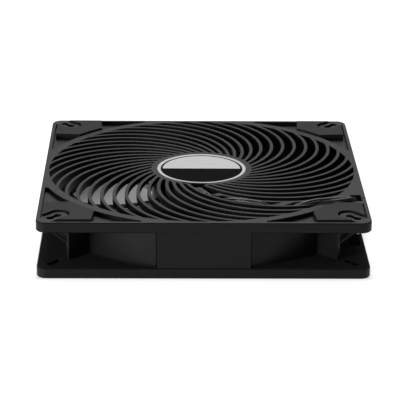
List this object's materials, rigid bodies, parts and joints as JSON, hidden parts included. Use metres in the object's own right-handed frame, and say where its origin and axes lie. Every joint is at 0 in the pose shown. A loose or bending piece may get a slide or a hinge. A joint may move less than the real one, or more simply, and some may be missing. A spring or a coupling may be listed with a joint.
{
  "type": "case fan",
  "caption": "Square axial case fan with two flanges, a spiral-ribbed outlet grille, corner pads, a bladed impeller on a hub motor and a twisted lead with a connector.",
  "frame": {"origin": "centre of the square at the intake face, which lies on the floor", "axes": "+Z along the rotor's axis from the intake to the outlet grille, +X and +Y along the sides of the square, the lead leaves near the -Y end of the +X side"},
  "size_m": [0.1845, 0.2183, 0.035],
  "materials": {
    "frame_plastic": "satin",
    "pad_rubber": "matte",
    "label_film": "satin",
    "blade_plastic": "gloss",
    "yoke_steel": "satin",
    "bonded_magnet": "matte",
    "bush_brass": "satin",
    "shaft_steel": "polished",
    "white_plastic": "matte",
    "bearing_bronze": "matte",
    "seal_rubber": "matte",
    "core_steel": "satin",
    "insulator_plastic": "matte",
    "winding_copper": "gloss",
    "pin_metal": "satin",
    "board_laminate": "satin",
    "chip_resin": "matte",
    "capacitor_ceramic": "matte",
    "wire_jacket": "satin",
    "tie_plastic": "matte",
    "connector_plastic": "satin",
    "contact_brass": "satin"
  },
  "bodies": {
    "frame": {"frame": "frame_plastic", "outlet_grille": "frame_plastic", "corner_pads": "pad_rubber", "hub_label": "label_film", "bearing_tube": "bush_brass", "sleeve_bearing": "bearing_bronze", "thrust_plate": "white_plastic", "oil_seal": "seal_rubber", "stator_core": "core_steel", "upper_insulator": "insulator_plastic", "lower_insulator": "insulator_plastic", "stator_coils": "winding_copper", "terminal_pins": "pin_metal", "circuit_board": "board_laminate", "driver_chip": "chip_resin", "hall_sensor": "chip_resin", "board_capacitor": "capacitor_ceramic", "board_resistors": "chip_resin", "lead_wires": "wire_jacket", "lead_run": "wire_jacket", "lead_coil": "wire_jacket", "lead_end": "wire_jacket", "lead_tie": "tie_plastic", "lead_connector": "connector_plastic", "connector_contacts": "contact_brass"},
    "rotor": {"impeller": "blade_plastic", "rotor_yoke": "yoke_steel", "ring_magnet": "bonded_magnet", "shaft_bush": "bush_brass", "shaft": "shaft_steel", "retaining_clip": "white_plastic"}
  },
  "joints": [
    {"name": "impeller_spin", "type": "hinge", "parent": "frame", "child": "rotor", "pos_m": [0, 0, 0], "axis": [0, 0, 1], "continuous": true}
  ]
}
